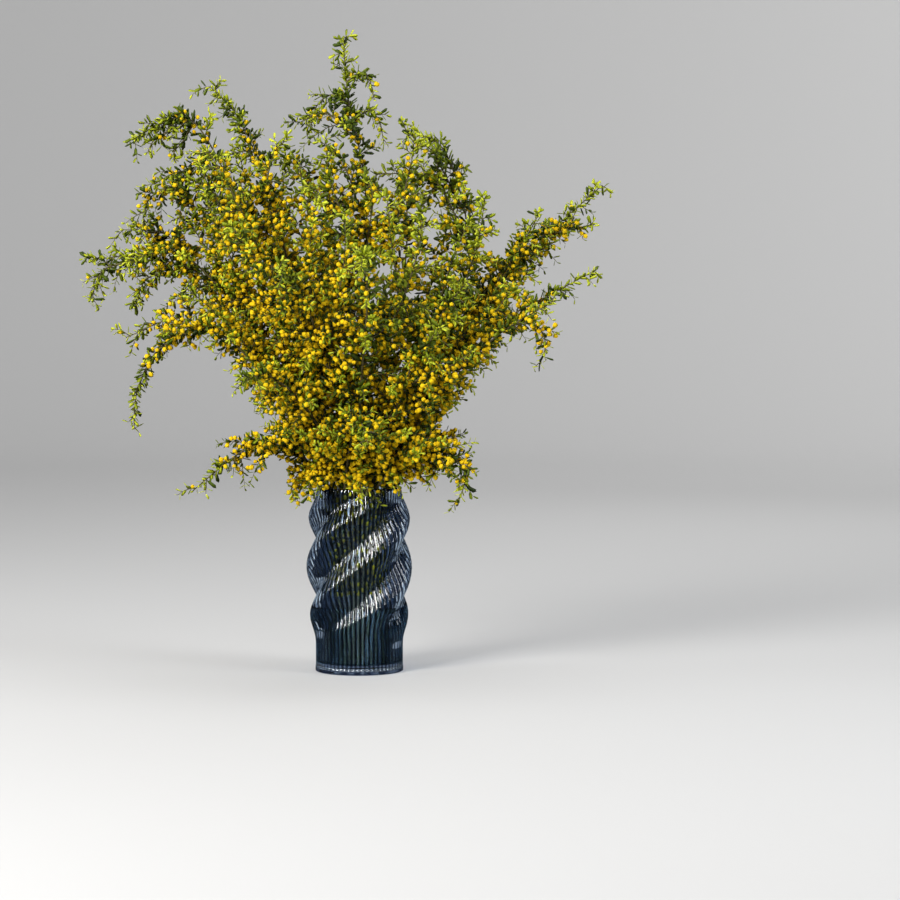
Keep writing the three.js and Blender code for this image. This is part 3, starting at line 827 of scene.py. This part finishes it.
def apply_place():
    bpy.ops.object.transform_apply(location=True, rotation=True, scale=True)


def make_triangles():
    bpy.ops.object.mode_set(mode="OBJECT")
    bpy.ops.object.modifier_add(type="TRIANGULATE")
    bpy.ops.object.modifier_apply(modifier="Triangulate")


upright = {"location": (0, 0, 0.5), "rotation": (0, 0, -math.pi / 2)}
bpy.ops.mesh.primitive_uv_sphere_add(segments=3, ring_count=3, radius=0.5, **upright)
apply_place()
leaf = name_it("leaf_pattern")
bpy.ops.object.mode_set(mode="EDIT")
for height, moved_to, widen in LEAF_RINGS:
    select_where(leaf, lambda co, height=height: abs(co.z - height) < 0.05)
    bpy.ops.transform.resize(value=(widen, LEAF_FLATNESS * widen, 1), center_override=(0, 0, height))
    bpy.ops.transform.translate(value=(0, -LEAF_ARCH * moved_to * moved_to, moved_to - height))
select_where(leaf, lambda co: co.z > 0.99)
bpy.ops.transform.translate(value=(0, -LEAF_ARCH, 0))
make_triangles()
print("leaf triangles:", len(leaf.data.polygons), "size", [round(side, 2) for side in leaf.dimensions])

# %% [markdown]
# A flower head is a ball of dozens of tiny flowers, so it looks like a pompom. It starts as a coarse ball,
# and about every other point is pulled in, which breaks the round outline. The fluff is left to the finish.
# Its stalk is a hair-thin spike of three sides.

# %% One flower head and one stalk
HEAD_SLICES = 5
PULLED_IN = 0.14


def is_inner(co):
    """True for every other point of the ball, counted round and up."""
    around = round(math.atan2(co.y, co.x) / TAU * HEAD_SLICES)
    return abs(co.z) < 0.9 and (around + round(co.z / 0.7)) % 2 == 1


bpy.ops.mesh.primitive_uv_sphere_add(segments=HEAD_SLICES, ring_count=4, radius=1)
head = name_it("head_pattern")
bpy.ops.object.mode_set(mode="EDIT")
select_where(head, is_inner)
bpy.ops.transform.shrink_fatten(value=-PULLED_IN)
make_triangles()
bpy.ops.mesh.primitive_cone_add(vertices=3, radius1=1, depth=1, end_fill_type="NOTHING", location=(0, 0, 0.5))
apply_place()
stalk = name_it("stalk_pattern")
print("flower head triangles:", len(head.data.polygons), "stalk triangles:", len(stalk.data.polygons))

# %% [markdown]
# Copies of a pattern go into one mesh for each branch. Each copy is turned by its own three directions, sized
# and moved, and it keeps a tone from 0 to 1 as an attribute, which its finish reads to vary the colour.

# %% Copying a pattern


def copies(name, pattern, rows):
    """One mesh with a copy of the pattern for each row: its place, three directions, three sizes and tone."""
    at, directions, sizes, tones = (np.array([row[k] for row in rows], float) for k in range(4))
    points = np.array([point.co for point in pattern.data.vertices])
    corners = np.array([face.vertices[:] for face in pattern.data.polygons])
    placed = np.einsum("nvk,nkc->nvc", points[None] * sizes[:, None, :], directions) + at[:, None, :]
    faces = corners[None] + (np.arange(len(at)) * len(points))[:, None, None]
    mesh = bpy.data.meshes.new(name)
    mesh.from_pydata(placed.reshape(-1, 3) * MM, [], faces.reshape(-1, 3))
    tone = mesh.attributes.new("tone", "FLOAT", "POINT")
    tone.data.foreach_set("value", np.repeat(tones, len(points)).astype(np.float32))
    return put_in_scene(name, mesh)


print("copy helper ready")

# %% [markdown]
# Leaves and flower heads stand round the wood in a spiral, a fixed turn apart, as on the plant. On each twig
# the heads crowd the lower part on short stalks and the leaves run on to the tip, smaller and lighter there.
# Whatever would touch the glass or stand in the water is left out.

# %% What a branch carries, in millimetres and degrees
LEAF_SPACING = 2.9
LEAF_LENGTH = (14.5, 8.5)
LEAF_WIDTH = 0.40
LEAF_DEPTH = 0.5
LEAF_LEANS = (36, 66)
LEAF_ROLLS = (-0.45, 0.45)
LEAF_SIZES = (0.8, 1.2)
LEAF_SHADES = (-0.15, 0.15)
HEAD_SPACING = 4.7
HEAD_RADIUS = (3.0, 4.1)
HEAD_LEANS = (0.2, 0.8)
HEAD_SEAT = 0.6
PAIR_TURN = 2.2
STALK = (2.5, 7.5)
STALK_RADIUS = 0.3
GLASS_GAP = 0.5
ABOVE_WATER = 6


def clears_glass(point, reach):
    """True where something that reaches this far round the point touches neither glass nor water."""
    if point[2] > VASE_HEIGHT + reach:
        return True
    radius = math.hypot(point[0], point[1])
    wall = float(wall_radius(math.atan2(point[1], point[0]), point[2]))
    is_inside = radius < wall - WALL - reach - GLASS_GAP and point[2] > WATER_TOP + ABOVE_WATER
    return is_inside or radius > wall + REED_DEPTH + reach


class Harvest:
    """Collects the places of one branch's leaves, heads and stalks."""

    def __init__(self):
        self.leaves = []
        self.heads = []
        self.stalks = []

    def add_leaves(self, shoot, low, high, spacing, lengths, lightness):
        count = max(1, round((high - low) * shoot.length / spacing))
        at, along, side, over = shoot.frame(np.linspace(low, high, count))
        for k in range(count):
            turn = k * GOLDEN_ANGLE + TAU * chance(shoot.key, LEAF_TURN)
            lean = math.radians(mix(*LEAF_LEANS, chance(shoot.key, k, LEAF_LEAN)))
            roll = mix(*LEAF_ROLLS, chance(shoot.key, k, LEAF_ROLL))
            out = side[k] * math.cos(turn) + over[k] * math.sin(turn)
            ahead = along[k] * math.cos(lean) + out * math.sin(lean)
            across = np.cross(along[k], out)
            across = across * math.cos(roll) + np.cross(ahead, across) * math.sin(roll)
            face = np.cross(ahead, across)
            share = k / max(1, count - 1)
            length = mix(*lengths, share) * mix(*LEAF_SIZES, chance(shoot.key, k, LEAF_SIZE))
            tone = mix(*lightness, share) + mix(*LEAF_SHADES, chance(shoot.key, k, LEAF_TONE))
            if clears_glass(at[k] + ahead * length, 1.5) and clears_glass(at[k], 1):
                sizes = (length * LEAF_WIDTH, length * LEAF_DEPTH, length)
                self.leaves.append((at[k], (across, face, ahead), sizes, np.clip(tone, 0, 1)))

    def add_heads(self, shoot, low, high, spacing, crowd):
        """A crowd of 1 gives a head at each place, less skips some, and more gives some places a pair."""
        count = max(1, round((high - low) * shoot.length / spacing))
        at, along, side, over = shoot.frame(np.linspace(low, high, count))
        for k in range(count):
            for n in range(2 if chance(shoot.key, k, HEAD_COUNT) < crowd - 1 else 1):
                if chance(shoot.key, k, n, HEAD_SKIP) > crowd:
                    continue
                turn = k * GOLDEN_ANGLE + PAIR_TURN * n + TAU * chance(shoot.key, HEAD_TURN)
                out = side[k] * math.cos(turn) + over[k] * math.sin(turn)
                ahead = unit(out + along[k] * mix(*HEAD_LEANS, chance(shoot.key, k, n, HEAD_LEAN)))
                radius = mix(*HEAD_RADIUS, chance(shoot.key, k, n, HEAD_SIZE))
                reach = mix(*STALK, chance(shoot.key, k, n, HEAD_REACH)) + HEAD_SEAT * radius
                spin = unit(np.cross(along[k], ahead))
                directions = (spin, np.cross(ahead, spin), ahead)
                centre = at[k] + ahead * reach
                if clears_glass(centre, radius):
                    tone = chance(shoot.key, k, n, HEAD_TONE)
                    self.heads.append((centre, directions, (radius, radius, radius), tone))
                    self.stalks.append((at[k], directions, (STALK_RADIUS, STALK_RADIUS, reach), 0.5))


print("spiral leaves every", LEAF_SPACING, "mm and heads every", HEAD_SPACING, "mm")

# %% [markdown]
# Wood is drawn as curves with a round bevel, thick at the foot and thin at the tips, and then turned into
# meshes. One curve object holds the stem and its limbs, another the twigs.

# %% Wood from curves
STEM_RADII = (2.6, 2.1, 0.6)
STEM_POINTS = 34
STEM_END = 0.985
STEM_TAPER = 0.8
ROOT_POINTS = 3
LIMB_RADII = (1.5, 0.5)
LIMB_POINTS = 20
TWIG_RADII = (0.75, 0.3)
TWIG_POINTS = 4


def curve_lines(name, lines, roundness):
    """A mesh of round rods. Each line is its points and its radii, in millimetres."""
    data = bpy.data.curves.new(name, "CURVE")
    data.dimensions = "3D"
    data.bevel_depth = MM
    data.bevel_resolution = roundness
    data.use_fill_caps = True
    for points, radii in lines:
        thread = data.splines.new("POLY")
        thread.points.add(len(points) - 1)
        thread.points.foreach_set("co", np.column_stack([points * MM, np.ones(len(points))]).ravel())
        thread.points.foreach_set("radius", np.asarray(radii, float))
        thread.use_smooth = True
    pick(put_in_scene(name, data))
    bpy.ops.object.convert(target="MESH")
    return bpy.context.active_object


def stem_line(stem):
    foot, neck, tip = STEM_RADII
    below = np.linspace(-stem.rooted / stem.length, 0, ROOT_POINTS + 1)[:-1]
    above = np.linspace(0, STEM_END, STEM_POINTS)
    radii = [mix(foot, neck, 1 + x * stem.length / stem.rooted) for x in below]
    radii += [mix(neck, tip, x**STEM_TAPER) for x in above]
    return stem.path(np.concatenate([below, above])), radii


def limb_line(limb, radii, count):
    u = np.linspace(0, 1, count)
    return limb.path(u), mix(*radii, u)


print("wood helpers ready")

# %% [markdown]
# The finishes. Bark is a mottled brown with green in it. Leaves run from deep green inside the crown, which
# is painted shade, to a light yellow green at the tips, as young growth is, by their tone. Flower heads are
# golden, darker in the gaps between the tiny flowers as painted shade, and their fluff is a fine bump.

# %% Bark, leaf and blossom finishes
BARK = [(0.3, (0.045, 0.035, 0.012)), (0.55, (0.10, 0.085, 0.025)), (0.75, (0.16, 0.13, 0.05))]
GREENS = [(0.0, (0.012, 0.024, 0.001)), (0.35, (0.055, 0.088, 0.002)),
          (0.7, (0.25, 0.30, 0.005)), (1.0, (0.52, 0.57, 0.03))]
GOLDS = [(0.0, (0.45, 0.27, 0.003)), (0.4, (0.75, 0.49, 0.006)), (1.0, (0.86, 0.62, 0.014))]
PATCHES = 0.18
GAP_SHADE_SHARE = 0.45


def tone_of(recipe):
    return recipe.node("ShaderNodeAttribute", {"attribute_name": "tone"}, {}, out="Fac")


def bark_finish():
    recipe = Recipe("bark")
    mottle = recipe.noise(320, 4, 0.6)
    inputs = {"Base Color": recipe.ramp(mottle, BARK), "Roughness": 0.75}
    inputs["Normal"] = recipe.bump(mottle, 0.25 * MM, 0.6)
    return recipe.finish(recipe.principled(inputs))


def leaf_finish():
    recipe = Recipe("leaf")
    patches = recipe.noise(260, 2)
    inputs = {"Base Color": recipe.ramp(tone_of(recipe) + PATCHES * (patches - 0.5), GREENS)}
    inputs["Roughness"] = 0.42 + 0.2 * patches
    inputs["Specular IOR Level"] = 0.2
    inputs["Normal"] = recipe.bump(patches, 0.15 * MM, 0.4)
    return recipe.finish(recipe.principled(inputs))


def blossom_finish():
    recipe = Recipe("blossom")
    fluff = recipe.noise(1900, 2, 0.7)
    # Low fluff, in the gaps between the tiny flowers, darkens the gold: painted shade.
    depth = (1 - GAP_SHADE_SHARE) * tone_of(recipe) + GAP_SHADE_SHARE * fluff
    inputs = {"Base Color": recipe.ramp(depth, GOLDS), "Roughness": 0.9, "Specular IOR Level": 0.1}
    inputs["Normal"] = recipe.bump(fluff, 0.6 * MM, 1.0)
    return recipe.finish(recipe.principled(inputs))


bark, leaf_green, blossom = bark_finish(), leaf_finish(), blossom_finish()
print("finishes:", bark.name, leaf_green.name, blossom.name)

# %% [markdown]
# A twig may not grow wherever it likes. It stays inside the solids' box and a small margin round it, and it
# leaves the air free at both sides between the low branches and the crown. Too long a twig is shortened.

# %% Room to grow, in millimetres
MARGIN = 0.03
SLACK = 6
GAP_HEIGHTS = (325, 425)
GAP_RIGHT = (97, 1.0)
GAP_LEFT = (118, 0.65)
SHORTEST_IN_GAP = 20
low_limit, high_limit = (np.array(corner) / MM for corner in cad_box)
allowance = MARGIN * (high_limit - low_limit) + SLACK


def keeps_in_box(point):
    return bool(np.all(point > low_limit - allowance) and np.all(point < high_limit + allowance))


def in_bare_gap(point):
    """True beside the middle, further out than a line that slopes outwards with the height."""
    x, z = point[0], point[2]
    low, high = GAP_HEIGHTS
    start, slope = GAP_RIGHT if x > 0 else GAP_LEFT
    return low < z < high and abs(x) > start + slope * (z - low)


def fit_twig(twig):
    while not keeps_in_box(twig.path(np.ones(1))[0]):
        twig.length *= 0.8
    while in_bare_gap(twig.path(np.ones(1))[0]) and twig.length > SHORTEST_IN_GAP:
        twig.length *= 0.85


print("room past the solids:", allowance.round(1), "mm")

# %% [markdown]
# The heads are densest low in the crown. They thin out towards the top and towards each branch's tip, which
# is all leaf, and they vary from twig to twig. Leaves are dark near the stem, painted shade for the inside of
# the crown, and light at the tips like young growth, and some twigs are fresher than others.

# %% Growing a twig
FLOWERING = (0.75, 0.35)
HEADS_FROM = 0.08
CROWD = 1.7
LOW_BLOOM = 0.5
LOW_HEIGHTS = (300, 420)
HIGH_FADE = 0.93
HIGH_HEIGHTS = (580, 740)
TIP_FADE = 0.9
TIP_PART = (0.45, 0.9)
CROWD_RANGE = (0.6, 1.45)
LEAFY = 0.5
LEAFY_FRESHNESS = 0.12
TWIG_SHADES = 0.6
# Leaves near the stem, inside the crown, get dark tones as painted shade; tip leaves get light ones.
INNER_TONES_PAINTED_SHADE = (0.05, 0.4)
OUTER_SHADES = (0.55, 1.0)


def grow_twig(twig, bloom, harvest, rods, shorter=1.0, fade=TIP_FADE):
    """Adds one twig with its heads and leaves, unless it would touch glass or water."""
    twig.length *= shorter
    fit_twig(twig)
    if not all(clears_glass(point, 1) for point in twig.path(np.linspace(0, 1, 5))):
        return
    rods.append(limb_line(twig, TWIG_RADII, TWIG_POINTS))
    tip = twig.place
    height = twig.path(np.zeros(1))[0][2]
    by_height = 1 + LOW_BLOOM * (1 - smooth(height, *LOW_HEIGHTS)) - HIGH_FADE * smooth(height, *HIGH_HEIGHTS)
    by_place = 1 - fade * smooth(tip, *TIP_PART)
    crowd = CROWD * bloom * by_height * by_place * mix(*CROWD_RANGE, chance(twig.key, TWIG_BLOOM))
    harvest.add_heads(twig, HEADS_FROM, HEADS_FROM + mix(*FLOWERING, tip), HEAD_SPACING, crowd)
    fresh = LEAFY_FRESHNESS * (bloom < LEAFY) + TWIG_SHADES * (chance(twig.key, TWIG_TONE) - 0.55)
    lightness = (mix(*INNER_TONES_PAINTED_SHADE, tip) + fresh, mix(*OUTER_SHADES, tip) + fresh)
    harvest.add_leaves(twig, 0.10, 0.99, LEAF_SPACING, LEAF_LENGTH, lightness)


print("crowd range:", [round(CROWD * share, 2) for share in CROWD_RANGE])

# %% [markdown]
# A stem carries the solid's twigs and a second set between those, which gets shorter towards the tip and
# stops before it. Its limbs, the boughs and sprays, carry shorter twigs. A lush spray hangs, with short twigs
# in flower to their tips. Below the rim each stem keeps a few leaves and heads above the water.

# %% Growing a branch, in millimetres
BETWEEN_KEY = 500
BETWEEN_END = 0.82
BETWEEN_LENGTHS = (1.0, 0.55)
LIMB_TWIG_SPACING = 11
LIMB_TWIG_LENGTHS = (0.7, 1.0)
FULL_SPRAY = 200
LEAST_SPRAY = 0.35
INNER_STEM_LEAVES = (21, 16)
SUNK_LEAVES = (14, 14)
SUNK_SHARE = 0.6


def grow_limb(limb, is_spray, bloom, lush, harvest, rods):
    limb.hangs = int(lush > 1)
    fade = TIP_FADE / max(1, lush) ** 2
    reach = 1 / math.sqrt(max(1, lush))
    if is_spray and lush <= 1:
        reach = min(1, max(LEAST_SPRAY, limb.length / FULL_SPRAY))
    count = round(limb.length / LIMB_TWIG_SPACING)
    for j in range(count):
        shorter = mix(*LIMB_TWIG_LENGTHS, j / count) * reach
        grow_twig(twig_shoot(limb, j, count), bloom * lush, harvest, rods, shorter, fade)
    harvest.add_heads(limb, 0.1, 0.75, HEAD_SPACING, bloom * lush)
    harvest.add_leaves(limb, 0.1, 0.99, LEAF_SPACING, (14, 9), (0.2, 1.0))


def grow_stem(stem, key, bloom, harvest, rods):
    count = round(stem.length / TWIG_SPACING)
    for j in range(count):
        grow_twig(twig_shoot(stem, j, count), bloom, harvest, rods)
        between = twig_shoot(stem, j + 0.5, count, key + BETWEEN_KEY)
        if between.place < BETWEEN_END:
            grow_twig(between, bloom, harvest, rods, mix(*BETWEEN_LENGTHS, between.place))
    harvest.add_leaves(stem, 0.7, 0.975, LEAF_SPACING, LEAF_LENGTH, (0.4, 1.0))
    # Leaves low on the stem and below the rim get the darkest greens, painted shade inside the crown and the
    # vase.
    harvest.add_leaves(stem, 0.12, 0.75, 6, INNER_STEM_LEAVES, (0.0, 0.3))
    harvest.add_heads(stem, 0.02, 0.7, HEAD_SPACING * 1.2, bloom)
    sunk = -SUNK_SHARE * stem.rooted / stem.length
    harvest.add_leaves(stem, sunk, 0.2, 4, SUNK_LEAVES, (0.0, 0.2))
    harvest.add_heads(stem, sunk, 0.0, 7, bloom)


def grow_branch(branch, key):
    """A branch's leaves and heads, its thick lines and its thin ones."""
    harvest = Harvest()
    rods = []
    stem = stem_shoot(branch, key)
    grow_stem(stem, key, branch.bloom, harvest, rods)
    limbs = []
    for number, (name, start, way, *thick) in enumerate([*BOUGHS, *SPRAYS]):
        if name == branch.name:
            limb = limb_shoot(stem, start, way, len(BRANCHES) + number)
            lush = thick[0] if thick else 1
            grow_limb(limb, number >= len(BOUGHS), branch.bloom, lush, harvest, rods)
            limbs.append(limb)
    return harvest, [stem_line(stem)] + [limb_line(limb, LIMB_RADII, LIMB_POINTS) for limb in limbs], rods


print("stem twigs every", TWIG_SPACING, "mm and limb twigs every", LIMB_TWIG_SPACING, "mm")

# %% [markdown]
# Each branch becomes three pieces on its solid's node: its wood with the stalks, its leaves and its blossom.


def dress(piece, material, node):
    piece.data.materials.clear()
    piece.data.materials.append(material)
    piece.data.polygons.foreach_set("use_smooth", [True] * len(piece.data.polygons))
    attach(piece, "root")
    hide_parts(node)
    piece.data.calc_loop_triangles()
    return len(piece.data.loop_triangles)


leaves = heads = triangles = 0
for key, branch in enumerate(BRANCHES):
    node = "branch_" + branch.name
    harvest, stems, rods = grow_branch(branch, key)
    wood = curve_lines(node + "_wood", stems, 2)
    twigs = curve_lines(node + "_twigs", rods, 0)
    pick(wood, twigs, copies(node + "_stalks", stalk, harvest.stalks))
    bpy.ops.object.join()
    green = copies(node + "_leaves", leaf, harvest.leaves)
    gold = copies(node + "_blossom", head, harvest.heads)
    for piece, material in ((wood, bark), (green, leaf_green), (gold, blossom)):
        triangles += dress(piece, material, node)
    leaves += len(harvest.leaves)
    heads += len(harvest.heads)
print(leaves, "leaves,", heads, "flower heads,", triangles, "triangles on the branches")

# %% [markdown]
# The patterns have done their work and are taken out.

# %% Finish
for pattern in (leaf, head, stalk):
    bpy.data.objects.remove(pattern)
